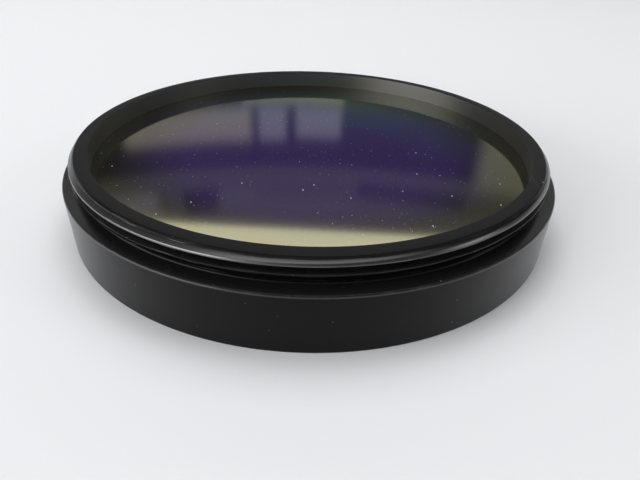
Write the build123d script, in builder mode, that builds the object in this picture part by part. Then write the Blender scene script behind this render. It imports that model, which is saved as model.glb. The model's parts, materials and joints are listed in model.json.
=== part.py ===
from build123d import *
import os

# Round optical bandpass filter in a turned screw cell: the cell, the coated glass and the slotted
# ring that holds the glass. Millimetres. The optical axis is Z, the male thread points up, and the
# origin is the centre of the rim that the cell stands on.

# Standard filter thread, the same on the male and the female end
thread_diameter = 48.0
thread_pitch = 0.75
male_thread_length = 2.4

# Outside of the cell
shoulder_width = 0.9
male_thread_chamfer = 0.55
undercut_width = 0.75
undercut_clearance = 0.09
undercut_corner_radius = 0.12
wall_edge_break = 0.12
rim_edge_break = 0.1

# Inside of the cell
front_well_depth = 1.8
glass_seat_width = 0.5
undercut_wall = 0.55
female_thread_clearance = 0.25
female_thread_chamfer = 0.4
relief_width = 0.45
relief_clearance = 0.08
inner_edge_break = 0.1

# Filter glass
glass_thickness = 2.0
glass_clearance = 0.1
glass_bevel = 0.2

# Retaining ring
ring_thickness = 1.1
ring_band = 0.95
ring_thread_clearance = 0.05
ring_inset = 0.2
ring_edge_break = 0.12
ring_slot_width = 1.4
ring_slot_depth = 0.55
ring_slot_count = 2

# Thread profile: the depth from the crest to the root, as a share of the pitch
male_depth_ratio = 0.6134
female_depth_ratio = 0.5413

# Radii, from the thread outwards and inwards
thread_radius = thread_diameter / 2
wall_radius = thread_radius + shoulder_width
undercut_radius = thread_radius - male_depth_ratio * thread_pitch - undercut_clearance
female_radius = thread_radius - female_depth_ratio * thread_pitch
relief_radius = thread_radius + relief_clearance
pocket_radius = undercut_radius - undercut_wall
glass_radius = pocket_radius - glass_clearance
well_radius = glass_radius - glass_seat_width
ring_outer_radius = pocket_radius - ring_thread_clearance
ring_inner_radius = ring_outer_radius - ring_band

# Heights, stacked up from the rim that it stands on
female_thread_depth = male_thread_length + female_thread_clearance
ring_base = female_thread_depth + ring_inset
glass_base = ring_base + ring_thickness
glass_seat = glass_base + glass_thickness
cell_height = glass_seat + front_well_depth
shoulder_height = cell_height - male_thread_length
undercut_top = shoulder_height + undercut_width
undercut_flank = thread_radius - undercut_radius
relief_base = female_thread_depth - relief_width

os.makedirs("parts", exist_ok=True)

# Cell: one turned aluminium ring. Its half section runs up the outside, over the male thread and
# down the inside past the lip, the glass pocket and the female thread.
with BuildPart() as cell:
    with BuildSketch(Plane.XZ) as cell_section:
        with BuildLine():
            Polyline(
                (female_radius, 0),
                (wall_radius, 0),
                (wall_radius, shoulder_height),
                (undercut_radius, shoulder_height),
                (undercut_radius, undercut_top - undercut_flank),
                (thread_radius, undercut_top),
                (thread_radius, cell_height),
                (well_radius, cell_height),
                (well_radius, glass_seat),
                (pocket_radius, glass_seat),
                (pocket_radius, female_thread_depth),
                (relief_radius, female_thread_depth),
                (relief_radius, relief_base),
                (female_radius, relief_base),
                close=True,
            )
        make_face()
    revolve(axis=Axis.Z)

    # The first turn of each thread is chamfered, and the sharp edges are broken
    circles = cell.edges().filter_by(GeomType.CIRCLE)
    front_edges = circles.group_by(Axis.Z)[-1].sort_by(SortBy.RADIUS)
    base_edges = circles.group_by(Axis.Z)[0].sort_by(SortBy.RADIUS)
    shoulder_edges = circles.filter_by_position(Axis.Z, shoulder_height, shoulder_height)
    shoulder_edges = shoulder_edges.sort_by(SortBy.RADIUS)
    chamfer(front_edges[-1], male_thread_chamfer)
    chamfer(front_edges[0], inner_edge_break)
    chamfer(base_edges[-1], rim_edge_break)
    chamfer(base_edges[0], female_thread_chamfer)
    chamfer(shoulder_edges[-1], wall_edge_break)
    fillet(shoulder_edges[0], undercut_corner_radius)

# Filter glass: a flat disc with bevelled edges, coated on its front face
with BuildPart() as filter_glass:
    with BuildSketch(Plane.XY.offset(glass_base)):
        Circle(glass_radius)
    extrude(amount=glass_thickness)
    chamfer(filter_glass.edges().filter_by(GeomType.CIRCLE), glass_bevel)

# Retaining ring: it screws up against the glass from below, turned by a spanner in its slots
with BuildPart() as retaining_ring:
    with BuildSketch(Plane.XY.offset(ring_base)):
        Circle(ring_outer_radius)
        Circle(ring_inner_radius, mode=Mode.SUBTRACT)
    extrude(amount=ring_thickness)
    chamfer(retaining_ring.edges().filter_by(GeomType.CIRCLE), ring_edge_break)
    with BuildSketch(Plane.XY.offset(ring_base)):
        with PolarLocations(ring_outer_radius - ring_band / 2, ring_slot_count):
            Rectangle(ring_band * 2, ring_slot_width)
    extrude(amount=ring_slot_depth, mode=Mode.SUBTRACT)

cell.part.label = "cell"
filter_glass.part.label = "filter_glass"
retaining_ring.part.label = "retaining_ring"

export_step(cell.part, "parts/cell.step")
export_step(filter_glass.part, "parts/filter_glass.step")
export_step(retaining_ring.part, "parts/retaining_ring.step")
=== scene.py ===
import json
import math

import bmesh
import bpy
from mathutils import Matrix, Vector


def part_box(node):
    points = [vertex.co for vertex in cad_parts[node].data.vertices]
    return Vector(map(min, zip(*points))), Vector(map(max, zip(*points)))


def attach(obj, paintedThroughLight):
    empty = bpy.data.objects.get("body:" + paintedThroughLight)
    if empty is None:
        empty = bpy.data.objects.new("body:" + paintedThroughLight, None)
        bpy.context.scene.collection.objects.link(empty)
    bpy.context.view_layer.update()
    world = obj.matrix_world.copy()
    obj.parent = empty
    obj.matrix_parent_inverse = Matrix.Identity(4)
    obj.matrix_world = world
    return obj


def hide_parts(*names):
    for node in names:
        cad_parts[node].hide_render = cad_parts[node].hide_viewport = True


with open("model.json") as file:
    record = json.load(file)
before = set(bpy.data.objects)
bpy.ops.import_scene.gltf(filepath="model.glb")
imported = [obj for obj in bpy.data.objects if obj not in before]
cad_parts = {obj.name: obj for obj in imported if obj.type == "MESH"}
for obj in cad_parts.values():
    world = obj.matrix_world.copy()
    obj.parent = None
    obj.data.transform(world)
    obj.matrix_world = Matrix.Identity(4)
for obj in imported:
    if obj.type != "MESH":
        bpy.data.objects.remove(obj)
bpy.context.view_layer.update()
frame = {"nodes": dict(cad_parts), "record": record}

mm = 0.001
weldDistance = 0.002 * mm
mounts = {mount["name"]: mount for mount in frame["record"]["mounts"]}
_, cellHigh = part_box("cell")
_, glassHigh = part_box("filter_glass")
print("frame loaded: cell", round(cellHigh.x * 2 / mm, 2), "mm across")


# Mesh helpers

def sectionWire(bm, corners):
    # a closed outline in the XZ plane, from (radius, height) corners
    verts = [bm.verts.new((radius, 0, height)) for radius, height in corners]
    for index, vert in enumerate(verts):
        bm.edges.new((vert, verts[(index + 1) % len(verts)]))
    return verts


def roundCorners(bm, verts, size, segments=4):
    bmesh.ops.bevel(bm, geom=verts, offset=size, offset_type="OFFSET", segments=segments,
                    profile=0.5, affect="VERTICES", material=-1)


def edgesBetween(bm, lowest, highest, innermost, outermost):
    # wire edges that lie wholly in a height band and a radius band
    return [edge for edge in bm.edges
            if all(lowest <= vert.co.z <= highest and innermost <= vert.co.x <= outermost
                   for vert in edge.verts)]


def spinFull(bm, steps):
    bmesh.ops.spin(bm, geom=bm.verts[:] + bm.edges[:], cent=(0, 0, 0), axis=(0, 0, 1),
                   dvec=(0, 0, 0), angle=2 * math.pi, steps=steps, use_merge=True, use_duplicate=False)
    bmesh.ops.remove_doubles(bm, verts=bm.verts[:], dist=weldDistance)
    bmesh.ops.recalc_face_normals(bm, faces=bm.faces[:])


def makePiece(name, bm, materials):
    mesh = bpy.data.meshes.new(name)
    bm.to_mesh(mesh)
    bm.free()
    for polygon in mesh.polygons:
        polygon.use_smooth = True
    for material in materials:
        mesh.materials.append(material)
    piece = bpy.data.objects.new(name, mesh)
    bpy.context.scene.collection.objects.link(piece)
    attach(piece, "root")
    return piece


# Node helpers

def addNode(tree, kind, **settings):
    node = tree.nodes.new(kind)
    for key, value in settings.items():
        setattr(node, key, value)
    return node


def feed(tree, socket, value):
    # a socket is linked, anything else is set
    if isinstance(value, bpy.types.NodeSocket):
        tree.links.new(value, socket)
    else:
        socket.default_value = value


def calc(tree, operation, first, second=0.0, third=0.0):
    node = addNode(tree, "ShaderNodeMath", operation=operation)
    for socket, value in zip(node.inputs, (first, second, third)):
        feed(tree, socket, value)
    return node.outputs[0]


def vectorCalc(tree, operation, first, second=None):
    node = addNode(tree, "ShaderNodeVectorMath", operation=operation)
    feed(tree, node.inputs[0], first)
    if second is not None:
        feed(tree, node.inputs["Scale"] if operation == "SCALE" else node.inputs[1], second)
    return node.outputs["Value" if operation in ("LENGTH", "DISTANCE", "DOT_PRODUCT") else "Vector"]


def splitVector(tree, vector):
    node = addNode(tree, "ShaderNodeSeparateXYZ")
    feed(tree, node.inputs[0], vector)
    return node.outputs


def ramp(tree, value, low, high, toLow=0.0, toHigh=1.0):
    node = addNode(tree, "ShaderNodeMapRange", interpolation_type="SMOOTHSTEP")
    for socket, item in zip(node.inputs, (value, low, high, toLow, toHigh)):
        feed(tree, socket, item)
    return node.outputs[0]


def band(tree, value, starts, full, fades, ends, strength=1.0):
    # rises between starts and full, and falls again between fades and ends
    return calc(tree, "MULTIPLY", ramp(tree, value, starts, full, 0.0, strength),
                ramp(tree, value, fades, ends, 1.0, 0.0))


def blendColour(tree, factor, first, second):
    node = addNode(tree, "ShaderNodeMix", data_type="RGBA")
    for index, value in ((0, factor), (6, first), (7, second)):   # the node's sockets for colours
        feed(tree, node.inputs[index], value)
    return node.outputs[2]


def noise(tree, vector, scale, detail=2.0, rough=0.5, kind="3D"):
    node = addNode(tree, "ShaderNodeTexNoise", noise_dimensions=kind)
    feed(tree, node.inputs["W" if kind == "1D" else "Vector"], vector)
    feed(tree, node.inputs["Scale"], scale)
    node.inputs["Detail"].default_value = detail
    node.inputs["Roughness"].default_value = rough
    return node.outputs[0]


def flatPlace(tree, place):
    # the same place with its height taken away
    node = addNode(tree, "ShaderNodeMapping")
    node.inputs["Scale"].default_value = (1, 1, 0)
    feed(tree, node.inputs["Vector"], place)
    return node.outputs[0]


def newGroup(name, inputs, outputs):
    tree = bpy.data.node_groups.new(name, "ShaderNodeTree")
    for label, value in inputs.items():
        kind = "NodeSocketVector" if isinstance(value, tuple) else "NodeSocketFloat"
        tree.interface.new_socket(label, in_out="INPUT", socket_type=kind).default_value = value
    for label in outputs:
        tree.interface.new_socket(label, in_out="OUTPUT", socket_type="NodeSocketFloat")
    return tree, addNode(tree, "NodeGroupInput").outputs, addNode(tree, "NodeGroupOutput").inputs


def useGroup(tree, group, values):
    node = addNode(tree, "ShaderNodeGroup", node_tree=group)
    for key, value in values.items():
        feed(tree, node.inputs[key], value)
    return node.outputs


def newMaterial(name):
    material = bpy.data.materials.new(name)
    material.use_nodes = True
    return material, material.node_tree, material.node_tree.nodes["Principled BSDF"].inputs


def objectPlace(tree):
    return addNode(tree, "ShaderNodeTexCoord").outputs["Object"]


# Effects shared by the materials. Lengths inside them are metres on the part.

effectLook = {
    "lineDetail": 3.0, "lineRough": 0.6,   # the lathe lines, from fine to uneven
    "clusterScale": 150.0, "clusterRange": (0.35, 0.65), "clusterAmount": (0.35, 1.65),   # dust gathers
    "smallestSpeck": 0.4, "speckCore": 0.5, "dimmestSpeck": 0.15, "speckFall": 3.0,
    "smudgeDetail": 5.0, "smudgeRough": 0.65, "smudgeSoft": 0.22,
}


def buildTurnedLines():
    # radius and height of a point, and the fine lines that the lathe tool leaves round the axis
    look = effectLook
    inputs = {"Vector": (0, 0, 0), "Pitch": 0.05 * mm}
    tree, source, result = newGroup("turnedLines", inputs, ["Lines", "Radius", "Height"])
    radius = vectorCalc(tree, "LENGTH", flatPlace(tree, source["Vector"]))
    height = splitVector(tree, source["Vector"])[2]
    steps = calc(tree, "DIVIDE", calc(tree, "SUBTRACT", radius, height), source["Pitch"])
    feed(tree, result["Lines"], noise(tree, steps, 1.0, look["lineDetail"], look["lineRough"], "1D"))
    feed(tree, result["Radius"], radius)
    feed(tree, result["Height"], height)
    return tree


def buildEdgeWear():
    # a worn line along a turned edge at one radius and height, broken up by a mask
    inputs = {"Radius": 0.0, "Height": 0.0, "Edge Radius": 0.0, "Edge Height": 0.0,
              "Width": 0.1 * mm, "Break Up": 0.5}
    tree, source, result = newGroup("edgeWear", inputs, ["Mask"])
    across = calc(tree, "SUBTRACT", source["Radius"], source["Edge Radius"])
    up = calc(tree, "SUBTRACT", source["Height"], source["Edge Height"])
    away = calc(tree, "SQRT", calc(tree, "MULTIPLY_ADD", across, across, calc(tree, "MULTIPLY", up, up)))
    near = ramp(tree, away, 0.0, source["Width"], 1.0, 0.0)
    feed(tree, result["Mask"], calc(tree, "MULTIPLY", near, source["Break Up"]))
    return tree


def buildDust(name, dimensions):
    # small pale specks, one in each cell whose random number falls under Amount, gathered in clusters
    look = effectLook
    inputs = {"Vector": (0, 0, 0), "Spacing": 1 * mm, "Size": 0.1, "Amount": 0.3}
    tree, source, result = newGroup(name, inputs, ["Mask"])
    cells = addNode(tree, "ShaderNodeTexVoronoi", feature="F1", voronoi_dimensions=dimensions)
    cells.inputs["Scale"].default_value = 1.0
    perSpeck = calc(tree, "DIVIDE", 1.0, source["Spacing"])
    feed(tree, cells.inputs["Vector"], vectorCalc(tree, "SCALE", source["Vector"], perSpeck))
    number = addNode(tree, "ShaderNodeSeparateColor")
    feed(tree, number.inputs[0], cells.outputs["Color"])
    clusters = noise(tree, source["Vector"], look["clusterScale"], 1.0)
    gathered = ramp(tree, clusters, *look["clusterRange"], *look["clusterAmount"])
    amount = calc(tree, "MULTIPLY", source["Amount"], gathered)
    present = calc(tree, "LESS_THAN", number.outputs[0], amount)
    shrink = ramp(tree, number.outputs[1], 0.0, 1.0, look["smallestSpeck"], 1.0)
    size = calc(tree, "MULTIPLY", source["Size"], shrink)
    core = calc(tree, "MULTIPLY", size, look["speckCore"])
    spot = ramp(tree, cells.outputs["Distance"], core, size, 1.0, 0.0)
    glint = calc(tree, "POWER", number.outputs[2], look["speckFall"])
    bright = calc(tree, "MULTIPLY_ADD", glint, 1 - look["dimmestSpeck"], look["dimmestSpeck"])
    feed(tree, result["Mask"], calc(tree, "MULTIPLY", calc(tree, "MULTIPLY", present, spot), bright))
    return tree


def buildSmudges():
    # soft rubbed patches
    look = effectLook
    inputs = {"Vector": (0, 0, 0), "Scale": 200.0, "Cover": 0.4}
    tree, source, result = newGroup("smudges", inputs, ["Mask"])
    clouds = noise(tree, source["Vector"], source["Scale"], look["smudgeDetail"], look["smudgeRough"])
    edge = calc(tree, "SUBTRACT", 1.0, source["Cover"])
    feed(tree, result["Mask"], ramp(tree, clouds, edge, calc(tree, "ADD", edge, look["smudgeSoft"])))
    return tree


def buildSpeck():
    # one pale speck at a chosen place, seen from above
    inputs = {"Vector": (0, 0, 0), "Place": (0, 0, 0), "Size": 0.1 * mm}
    tree, source, result = newGroup("speck", inputs, ["Mask"])
    away = vectorCalc(tree, "DISTANCE", source["Vector"], source["Place"])
    core = calc(tree, "MULTIPLY", source["Size"], effectLook["speckCore"])
    feed(tree, result["Mask"], ramp(tree, away, core, source["Size"], 1.0, 0.0))
    return tree


def buildScratch():
    # a fine straight scratch between two places, seen from above
    inputs = {"Vector": (0, 0, 0), "Start": (0, 0, 0), "End": (0, 0, 0), "Width": 0.03 * mm}
    tree, source, result = newGroup("scratch", inputs, ["Mask"])
    run = vectorCalc(tree, "SUBTRACT", source["End"], source["Start"])
    reach = vectorCalc(tree, "SUBTRACT", source["Vector"], source["Start"])
    along = calc(tree, "DIVIDE", vectorCalc(tree, "DOT_PRODUCT", reach, run),
                 vectorCalc(tree, "DOT_PRODUCT", run, run))
    held = calc(tree, "MINIMUM", calc(tree, "MAXIMUM", along, 0.0), 1.0)
    away = vectorCalc(tree, "DISTANCE", reach, vectorCalc(tree, "SCALE", run, held))
    feed(tree, result["Mask"], ramp(tree, away, 0.0, source["Width"], 1.0, 0.0))
    return tree


turnedLines = buildTurnedLines()
edgeWear = buildEdgeWear()
speck = buildSpeck()
scratch = buildScratch()
dustOnFlat = buildDust("dustOnFlat", "2D")
dustAllRound = buildDust("dustAllRound", "3D")
smudges = buildSmudges()


def placeSpecks(tree, place, specks, size):
    # size and places in millimetres
    mask = 0.0
    for x, y in specks:
        values = {"Vector": place, "Place": (x * mm, y * mm, 0), "Size": size * mm}
        mask = calc(tree, "MAXIMUM", mask, useGroup(tree, speck, values)["Mask"])
    return mask


# Cell: one turned ring, sizes in millimetres, anodised black

cellSize = {
    "collarLength": 2.4, "chamfer": 0.55, "threadPitch": 0.75,
    "undercutWidth": 0.75, "undercutDepth": 0.55,
    "crestHeight": 6.45, "crestAngle": -90.0,   # a crest of the male thread passes here
    "maleDepthRatio": 0.6134, "femaleDepthRatio": 0.5413,   # thread depths as shares of the pitch
    "crestFlat": 0.08, "rootFlat": 0.125,
    "wellRadius": 22.3, "pocketRadius": 22.9,
    "reliefRadius": 24.08, "reliefWidth": 0.45, "femaleDepth": 2.65, "femaleChamfer": 0.4,
    "edgeBreak": 0.1, "shoulderRound": 0.16, "footRound": 0.16, "topRound": 0.13, "cornerRound": 0.12,
    "shoulderSegments": 5, "turns": 480, "rowsPerPitch": 22, "sharpAngle": 38.0,
    "boxGap": 0.0005,   # draws the wall in by a hair, so that number rounding can't pass the solids' box
}
collarSlot, insideSlot, wallSlot = range(3)   # the material slots of the turned cell


def threadDrop(offset, flat, root):
    # how far down the flank a point lies, 0 on the crest and 1 in the root, from its distance to
    # the crest as a share of the pitch
    return min(1.0, max(0.0, (offset - flat) / (0.5 - root - flat)))


def cutThreads(bm, size, threadRadius, femaleRadius, undercutRadius, collarFoot, top):
    pitch = size["threadPitch"] * mm
    chamferRadius = threadRadius - size["chamfer"] * mm
    maleDepth = size["maleDepthRatio"] * pitch
    femaleDepth = size["femaleDepthRatio"] * pitch
    femaleTop = (size["femaleDepth"] - size["reliefWidth"]) * mm
    tiny = 0.001 * mm
    for vert in bm.verts:
        radius = math.hypot(vert.co.x, vert.co.y)
        height = vert.co.z
        turn = (math.degrees(math.atan2(vert.co.y, vert.co.x)) - size["crestAngle"]) / 360
        phase = (height - size["crestHeight"] * mm) / pitch - turn
        offset = abs(phase - round(phase))
        wanted = radius
        if collarFoot + tiny < height < top - tiny and radius > chamferRadius - tiny:
            cut = threadRadius - maleDepth * threadDrop(offset, size["crestFlat"], size["rootFlat"])
            wanted = min(radius, max(cut, undercutRadius))
        elif tiny < height < femaleTop - tiny and femaleRadius - tiny < radius < threadRadius + tiny:
            drop = threadDrop(0.5 - offset, size["rootFlat"], size["crestFlat"])
            wanted = max(radius, femaleRadius + femaleDepth * drop)
        vert.co.x *= wanted / radius
        vert.co.y *= wanted / radius


def buildCell(collar, inside, wall):
    size = cellSize
    wallRadius, top = cellHigh.x - size["boxGap"] * mm, cellHigh.z
    threadRadius = mounts["front_thread"]["dims"]["r_mm"] * mm
    femaleRadius = mounts["rear_thread"]["dims"]["r_mm"] * mm
    shoulder = top - size["collarLength"] * mm
    undercutTop = shoulder + size["undercutWidth"] * mm
    undercutRadius = threadRadius - size["undercutDepth"] * mm
    undercutFoot = undercutTop - size["undercutDepth"] * mm
    well, pocket, relief = (size[key] * mm for key in ("wellRadius", "pocketRadius", "reliefRadius"))
    depth, reliefFoot = size["femaleDepth"] * mm, (size["femaleDepth"] - size["reliefWidth"]) * mm
    entry, edge, chamfer = (size[key] * mm for key in ("femaleChamfer", "edgeBreak", "chamfer"))
    bm = bmesh.new()
    rim = sectionWire(bm, [
        (femaleRadius + entry, 0), (wallRadius, 0), (wallRadius, shoulder), (undercutRadius, shoulder),
        (undercutRadius, undercutFoot), (threadRadius, undercutTop), (threadRadius, top - chamfer),
        (threadRadius - chamfer, top), (well, top), (well, glassHigh.z), (pocket, glassHigh.z),
        (pocket, depth), (relief, depth), (relief, reliefFoot), (femaleRadius, reliefFoot),
        (femaleRadius, entry)])
    roundCorners(bm, [rim[1], rim[8]], edge)
    roundCorners(bm, [rim[2]], size["shoulderRound"] * mm, size["shoulderSegments"])
    roundCorners(bm, [rim[3]], size["cornerRound"] * mm)
    roundCorners(bm, [rim[6]], size["footRound"] * mm)
    roundCorners(bm, [rim[7]], size["topRound"] * mm)
    rows = size["rowsPerPitch"] / (size["threadPitch"] * mm)
    slack = edge / 9   # less than any step of the section
    threadZones = (edgesBetween(bm, undercutFoot - slack, top + slack, undercutRadius - slack, wallRadius)
                   + edgesBetween(bm, -slack, reliefFoot + slack, femaleRadius - slack,
                                  femaleRadius + entry + slack))
    for wire in threadZones:
        cuts = int(wire.calc_length() * rows)
        if cuts and abs(wire.verts[0].co.z - wire.verts[1].co.z) > slack:
            bmesh.ops.subdivide_edges(bm, edges=[wire], cuts=cuts)
    spinFull(bm, size["turns"])
    cutThreads(bm, size, threadRadius, femaleRadius, undercutRadius, undercutFoot, top)
    for face in bm.faces:
        middle = face.calc_center_median()
        middleRadius = math.hypot(middle.x, middle.y)
        if middle.z > glassHigh.z - slack and middleRadius < well + slack:
            face.material_index = insideSlot
        elif middle.z < shoulder - slack and middleRadius > wallRadius - edge:
            face.material_index = wallSlot
        else:
            face.material_index = collarSlot
    piece = makePiece("cell_turned", bm, [collar, inside, wall])
    piece.data.set_sharp_from_angle(angle=math.radians(size["sharpAngle"]))
    piece.modifiers.new("evenNormals", "WEIGHTED_NORMAL").keep_sharp = True
    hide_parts("cell")
    print("cell turned:", len(piece.data.polygons), "faces")


anodiseLook = {
    "colour": (0.0032, 0.0032, 0.0036, 1), "greyed": (0.0085, 0.0085, 0.0085, 1),
    "worn": (0.10, 0.10, 0.095, 1), "dustColour": (0.60, 0.58, 0.54, 1),
    "matteRough": 0.60, "lineSpread": 0.10, "burnishRough": 0.28, "burnishIor": 2.1,
    "sheenRough": 0.35, "plainIor": 1.5,
    "linePitch": 0.04, "lineDepth": 0.001, "lineStrength": 0.5,
    "breakScale": 900.0, "breakDetail": 5.0, "breakRough": 0.7, "breakRange": (0.42, 0.75, 0.2, 0.8),
    "rubbed": {"Scale": 320.0, "Cover": 0.42}, "rubbedTone": 0.7, "rubbedRough": 0.08,
    "dust": {"Spacing": 0.55 * mm, "Size": 0.11, "Amount": 0.20},
    "wornTone": 0.4, "dustTone": 0.8, "dustRough": 0.8,
}

# the finishes of the cell and the ring, in millimetres: each worn edge is its radius, height and width
collarFinish = {
    "rough": 0.27, "specular": 0.14,
    "matte": (7.69, 7.74),   # dull above these heights
    # burnished by use: heights between which it fades in and out again, and its strength
    "burnished": [(6.86, 7.00, 7.20, 7.60, 0.90), (6.25, 6.35, 6.50, 6.65, 0.08)],
    # the shoulder face turns a lighter grey in patches between these heights
    "greyShoulderBand": (5.29, 5.31, 5.40, 5.45), "shoulderGrey": (0.014, 0.014, 0.014, 1),
    "shoulderPatches": (0.0, 0.8, 0.55, 1.0),
    "wornEdges": [(24.84, 5.30, 0.14)],
    "specks": [(21.31, -5.60), (20.29, -8.40), (19.19, -9.55), (20.72, -10.84)], "speckSize": 0.09,
    "scratch": [(20.05, -8.85), (20.01, -13.33)], "scratchWidth": 0.04,
}
wallFinish = {
    "rough": 0.30, "specular": 0.09, "sheen": 0.42,
    "rimEdge": (24.90, 5.22, 0.12, 0.40),   # a burnished edge, and its strength
    "wornEdges": [(24.84, 5.30, 0.14), (24.84, 0.05, 0.12)],
}
innerFinish = {"rough": 0.40, "specular": 1.0, "ior": 1.6, "wornEdges": [(22.33, 7.72, 0.10)]}
ringFinish = {"rough": 0.30, "specular": 0.30, "wornEdges": [(21.9, 2.85, 0.12)]}


def blackAnodise(name, finish):
    # turned lines, worn edges, dust and rubbed patches; a finish may add burnished zones and lighter grey
    # patches on the shoulder face
    look = anodiseLook
    material, tree, sockets = newMaterial(name)
    place = objectPlace(tree)
    turned = useGroup(tree, turnedLines, {"Vector": place, "Pitch": look["linePitch"] * mm})
    height = turned["Height"]

    def nearEdge(edgeRadius, edgeHeight, width, breakUp):
        values = {"Radius": turned["Radius"], "Height": height, "Edge Radius": edgeRadius * mm,
                  "Edge Height": edgeHeight * mm, "Width": width * mm, "Break Up": breakUp}
        return useGroup(tree, edgeWear, values)["Mask"]

    grain = noise(tree, place, look["breakScale"], look["breakDetail"], look["breakRough"])
    broken = ramp(tree, grain, *look["breakRange"])
    worn = 0.0
    for edge in finish["wornEdges"]:
        worn = calc(tree, "MAXIMUM", worn, nearEdge(*edge, broken))
    rubbed = useGroup(tree, smudges, {"Vector": place, **look["rubbed"]})["Mask"]
    specks = useGroup(tree, dustAllRound, {"Vector": place, **look["dust"]})["Mask"]
    rough = finish["rough"]
    burnished = 0.0
    greying = calc(tree, "MULTIPLY", rubbed, look["rubbedTone"])
    tone = blendColour(tree, greying, look["colour"], look["greyed"])
    if "specks" in finish:
        flat = flatPlace(tree, place)
        placed = placeSpecks(tree, flat, finish["specks"], finish["speckSize"])
        specks = calc(tree, "MAXIMUM", specks, placed)
        start, end = (Vector((x * mm, y * mm, 0)) for x, y in finish["scratch"])
        values = {"Vector": flat, "Start": start, "End": end, "Width": finish["scratchWidth"] * mm}
        worn = calc(tree, "MAXIMUM", worn, useGroup(tree, scratch, values)["Mask"])
    if "matte" in finish:
        matte = ramp(tree, height, *(level * mm for level in finish["matte"]))
        rough = ramp(tree, matte, 0.0, 1.0, rough, look["matteRough"])
    for *levels, strength in finish.get("burnished", []):
        zone = band(tree, height, *(level * mm for level in levels), strength)
        burnished = calc(tree, "MAXIMUM", burnished, zone)
    # lighter grey in patches on the shoulder face
    if "greyShoulderBand" in finish:
        onShoulder = band(tree, height, *(level * mm for level in finish["greyShoulderBand"]))
        patches = ramp(tree, rubbed, *finish["shoulderPatches"])
        tone = blendColour(tree, calc(tree, "MULTIPLY", onShoulder, patches), tone, finish["shoulderGrey"])
    if "rimEdge" in finish:
        burnished = nearEdge(*finish["rimEdge"])
    tone = blendColour(tree, calc(tree, "MULTIPLY", worn, look["wornTone"]), tone, look["worn"])
    dusted = calc(tree, "MULTIPLY", specks, look["dustTone"])
    feed(tree, sockets["Base Color"], blendColour(tree, dusted, tone, look["dustColour"]))
    spread = calc(tree, "SUBTRACT", turned["Lines"], 0.5)
    rough = calc(tree, "MULTIPLY_ADD", spread, look["lineSpread"], rough)
    rough = calc(tree, "MULTIPLY_ADD", rubbed, look["rubbedRough"], rough)
    dustRough = calc(tree, "MULTIPLY", specks, look["dustRough"])
    feed(tree, sockets["Roughness"], calc(tree, "MAXIMUM", rough, dustRough))
    bump = addNode(tree, "ShaderNodeBump")
    bump.inputs["Strength"].default_value = look["lineStrength"]
    bump.inputs["Distance"].default_value = look["lineDepth"] * mm
    feed(tree, bump.inputs["Height"], turned["Lines"])
    feed(tree, sockets["Normal"], bump.outputs[0])
    feed(tree, sockets["Coat Weight"], burnished)
    sockets["Coat Roughness"].default_value = look["burnishRough"]
    sockets["Coat IOR"].default_value = look["burnishIor"]
    sockets["Sheen Weight"].default_value = finish.get("sheen", 0.0)
    sockets["Sheen Roughness"].default_value = look["sheenRough"]
    sockets["IOR"].default_value = finish.get("ior", look["plainIor"])
    sockets["Specular IOR Level"].default_value = finish["specular"]
    return material


def dress(node, material):
    node.data.materials.clear()
    node.data.materials.append(material)


buildCell(blackAnodise("black_anodise_collar", collarFinish),
          blackAnodise("black_anodise_inner", innerFinish),
          blackAnodise("black_anodise_wall", wallFinish))
dress(frame["nodes"]["retaining_ring"], blackAnodise("black_anodise_ring", ringFinish))


# Filter glass: a violet-blue base colour under a strong warm mirror coating; the base colour is painted
# light, standing in for light from the floor seen through the coating

glassLook = {
    "violet": (0.026, 0.012, 0.082, 1), "blue": (0.018, 0.026, 0.078, 1), "teal": (0.016, 0.046, 0.034, 1),
    "rimShade": (0.0035, 0.0035, 0.003, 1), "dustColour": (0.82, 0.80, 0.80, 1),
    "reflection": (1.0, 0.97, 0.56, 1), "ior": 2.30, "rough": 0.07,
    # the painted colour drifts across the glass from violet by way of blue to teal; the teal towards the
    # back right is a painted reflection of the surroundings
    "drift": (14.0, 52.0), "driftNoise": 60.0, "toBlue": (0.0, 0.55), "toTeal": (0.45, 1.0),
    "fade": (12.5, 21.6),   # millimetres from the axis, over which the painted light fades to painted shade at the rim
    "fineDust": {"Spacing": 0.7 * mm, "Size": 0.068, "Amount": 0.52}, "fineStrength": 0.6,
    "coarseDust": {"Spacing": 2.0 * mm, "Size": 0.034, "Amount": 0.42}, "dustRough": 0.9,
    "specks": [(-0.48, -10.52), (0.49, -9.44), (3.84, -11.73), (11.12, -1.10), (10.48, -6.29),
               (13.03, -10.66), (-9.96, -13.48), (-12.31, -15.69), (10.40, -16.04), (17.08, -12.04),
               (18.17, -7.85), (-19.15, -6.92), (-6.16, -9.56)],
    "speckSize": 0.08,
}


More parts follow.
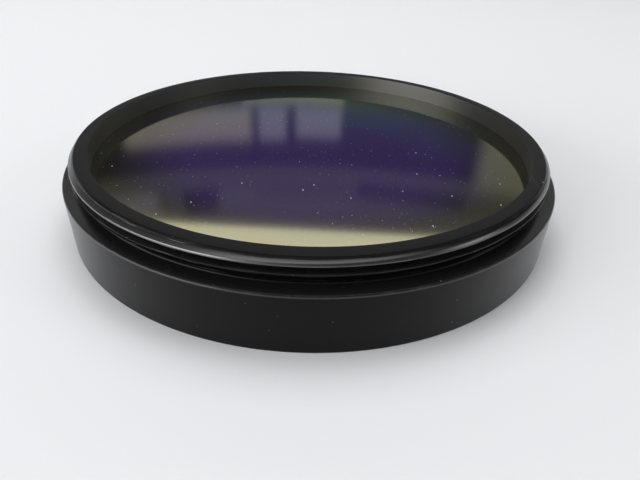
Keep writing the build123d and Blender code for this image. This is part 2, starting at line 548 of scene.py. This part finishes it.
def coatedGlass():
    look = glassLook
    material, tree, sockets = newMaterial("coated_glass")
    face = flatPlace(tree, objectPlace(tree))
    x, y, _ = splitVector(tree, face)
    alongX, alongY = look["drift"]
    drift = calc(tree, "MULTIPLY_ADD", x, alongX, calc(tree, "MULTIPLY", y, alongY))
    uneven = calc(tree, "SUBTRACT", noise(tree, face, look["driftNoise"]), 0.5)
    drift = calc(tree, "ADD", drift, uneven)
    # painted light: violet, blue and teal stand in for floor light coming up through the coating, and near
    # the rim it turns to painted shade where the cell wall blocks that light
    paintedThroughLight = blendColour(tree, ramp(tree, drift, *look["toBlue"]), look["violet"], look["blue"])
    paintedThroughLight = blendColour(tree, ramp(tree, drift, *look["toTeal"]), paintedThroughLight, look["teal"])
    fade = ramp(tree, vectorCalc(tree, "LENGTH", face), *(radius * mm for radius in look["fade"]))
    paintedThroughLight = blendColour(tree, fade, paintedThroughLight, look["rimShade"])
    fine = useGroup(tree, dustOnFlat, {"Vector": face, **look["fineDust"]})["Mask"]
    coarse = useGroup(tree, dustOnFlat, {"Vector": face, **look["coarseDust"]})["Mask"]
    dust = calc(tree, "MAXIMUM", calc(tree, "MULTIPLY", fine, look["fineStrength"]), coarse)
    dust = calc(tree, "MAXIMUM", dust, placeSpecks(tree, face, look["specks"], look["speckSize"]))
    feed(tree, sockets["Base Color"], blendColour(tree, dust, paintedThroughLight, look["dustColour"]))
    dustRough = calc(tree, "MULTIPLY", dust, look["dustRough"])
    feed(tree, sockets["Roughness"], calc(tree, "MAXIMUM", dustRough, look["rough"]))
    sockets["IOR"].default_value = look["ior"]
    sockets["Specular Tint"].default_value = look["reflection"]
    return material


dress(frame["nodes"]["filter_glass"], coatedGlass())
print("materials built")


# Floor, light and camera, in metres and degrees unless noted

floorLook = {"halfWidth": 2.2, "cells": 8, "colour": (0.87, 0.88, 0.90, 1), "rough": 0.7, "specular": 0.2}


def buildStage():
    look = floorLook
    bm = bmesh.new()
    bmesh.ops.create_grid(bm, x_segments=look["cells"], y_segments=look["cells"], size=look["halfWidth"])
    mesh = bpy.data.meshes.new("floor")
    bm.to_mesh(mesh)
    bm.free()
    floor = bpy.data.objects.new("floor", mesh)
    bpy.context.scene.collection.objects.link(floor)
    material, _, sockets = newMaterial("pale_floor")
    sockets["Base Color"].default_value = look["colour"]
    sockets["Roughness"].default_value = look["rough"]
    sockets["Specular IOR Level"].default_value = look["specular"]
    mesh.materials.append(material)


skyLook = {
    # brightness by the sine of the elevation: pale round the horizon, dim above it, paler overhead
    "bands": [(0.0, 0.92), (0.22, 0.90), (0.29, 0.10), (0.37, 0.05), (0.41, 0.035), (0.43, 0.15),
              (0.47, 0.14), (0.49, 0.17), (0.52, 0.12), (0.60, 0.14), (0.80, 0.20), (0.95, 0.40),
              (1.0, 0.50)],
    "blueShare": 1.02,
    # soft pale panels behind: azimuth from and to, elevation from and to, softness, colour
    "panels": [
        (-23.0, -8.6, 18.4, 21.9, 0.8, (0.48, 0.45, 0.44)),
        (-7.7, -4.5, 18.4, 21.9, 0.6, (0.38, 0.38, 0.56)),
        (-3.3, 2.0, 18.4, 21.6, 0.6, (0.38, 0.38, 0.56)),
        (-9.5, 2.2, 14.0, 18.0, 0.5, (0.42, 0.42, 0.40)),
        (18.6, 34.0, 15.0, 25.5, 1.2, (0.36, 0.36, 0.32)),
        (-30.0, -20.5, 26.8, 29.4, 0.8, (0.34, 0.32, 0.46)),
        (-13.0, -8.5, 27.2, 28.9, 0.8, (0.18, 0.18, 0.22)),
        (-17.5, -13.3, 27.0, 30.0, 0.8, (0.04, 0.04, 0.04)),
        (4.5, 18.0, 26.4, 28.0, 0.8, (0.05, 0.05, 0.05)),
    ],
}


def buildSky():
    look = skyLook
    world = bpy.data.worlds.new("studio")
    bpy.context.scene.world = world
    world.use_nodes = True
    tree = world.node_tree
    x, y, z = splitVector(tree, addNode(tree, "ShaderNodeTexCoord").outputs["Generated"])
    shades = addNode(tree, "ShaderNodeValToRGB")
    shades.color_ramp.interpolation = "EASE"
    points = shades.color_ramp.elements
    while len(points) < len(look["bands"]):
        points.new(0.5)
    for point, (place, level) in zip(points, look["bands"]):
        point.position = place
        point.color = (level, level, level * look["blueShare"], 1)
    feed(tree, shades.inputs[0], z)
    azimuth = calc(tree, "DEGREES", calc(tree, "ARCTAN2", x, y))
    elevation = calc(tree, "DEGREES", calc(tree, "ARCSINE", z))
    sky = shades.outputs[0]
    for left, right, low, high, soft, colour in look["panels"]:
        across = band(tree, azimuth, left - soft, left + soft, right - soft, right + soft)
        up = band(tree, elevation, low - soft, low + soft, high - soft, high + soft)
        sky = blendColour(tree, calc(tree, "MULTIPLY", across, up), sky, (*colour, 1))
    feed(tree, tree.nodes["Background"].inputs["Color"], sky)


# rectangular lamps that face the part; azimuth is from +Y towards +X
lampDistance = 0.50
lamps = {
    "strip_behind": {"azimuth": 0, "elevation": 35.95, "width": 0.80, "height": 0.040, "radiance": 2.5,
                     "tint": (1, 0.99, 0.95), "roll": -1.1},
    "softbox_above": {"azimuth": 0, "elevation": 70, "width": 0.42, "height": 0.32, "radiance": 2.8},
    "softbox_left": {"azimuth": -118, "elevation": 17, "width": 0.50, "height": 0.20, "radiance": 5.2},
    "softbox_left_high": {"azimuth": -132, "elevation": 40, "width": 0.36, "height": 0.17, "radiance": 2.2},
    "softbox_right": {"azimuth": 100, "elevation": 30, "width": 0.16, "height": 0.12, "radiance": 3.0},
}


def buildLight():
    for name, look in lamps.items():
        lamp = bpy.data.lights.new(name, "AREA")
        lamp.shape = "RECTANGLE"
        lamp.size, lamp.size_y = look["width"], look["height"]
        lamp.color = look.get("tint", (1, 1, 1))
        lamp.energy = look["radiance"] * math.pi * look["width"] * look["height"]
        box = bpy.data.objects.new(name, lamp)
        turn, rise = math.radians(look["azimuth"]), math.radians(look["elevation"])
        away = Vector((math.sin(turn) * math.cos(rise), math.cos(turn) * math.cos(rise), math.sin(rise)))
        box.matrix_world = (Matrix.Translation(away * lampDistance)
                            @ away.to_track_quat("Z", "Y").to_matrix().to_4x4()
                            @ Matrix.Rotation(math.radians(look.get("roll", 0.0)), 4, "Z"))
        box.visible_camera = False
        bpy.context.scene.collection.objects.link(box)


cameraView = {
    "place": (1.226, -51.097, 27.046), "pitch": 33.095, "roll": 2.03,   # millimetres and degrees
    "focalPixels": 501.2, "imageWidth": 640, "sensor": 36.0,
    "nearest": 1 * mm, "farthest": 10.0,
}


def buildCamera():
    view = cameraView
    data = bpy.data.cameras.new("camera")
    data.sensor_width = view["sensor"]
    data.lens = view["focalPixels"] * view["sensor"] / view["imageWidth"]
    data.clip_start, data.clip_end = view["nearest"], view["farthest"]
    camera = bpy.data.objects.new("camera", data)
    camera.matrix_world = (Matrix.Translation(Vector(view["place"]) * mm)
                           @ Matrix.Rotation(math.radians(90 - view["pitch"]), 4, "X")
                           @ Matrix.Rotation(math.radians(view["roll"]), 4, "Z"))
    bpy.context.scene.collection.objects.link(camera)
    bpy.context.scene.camera = camera


buildStage()
buildSky()
buildLight()
buildCamera()
bpy.context.scene.view_settings.view_transform = "Standard"
print("stage, light and camera set")
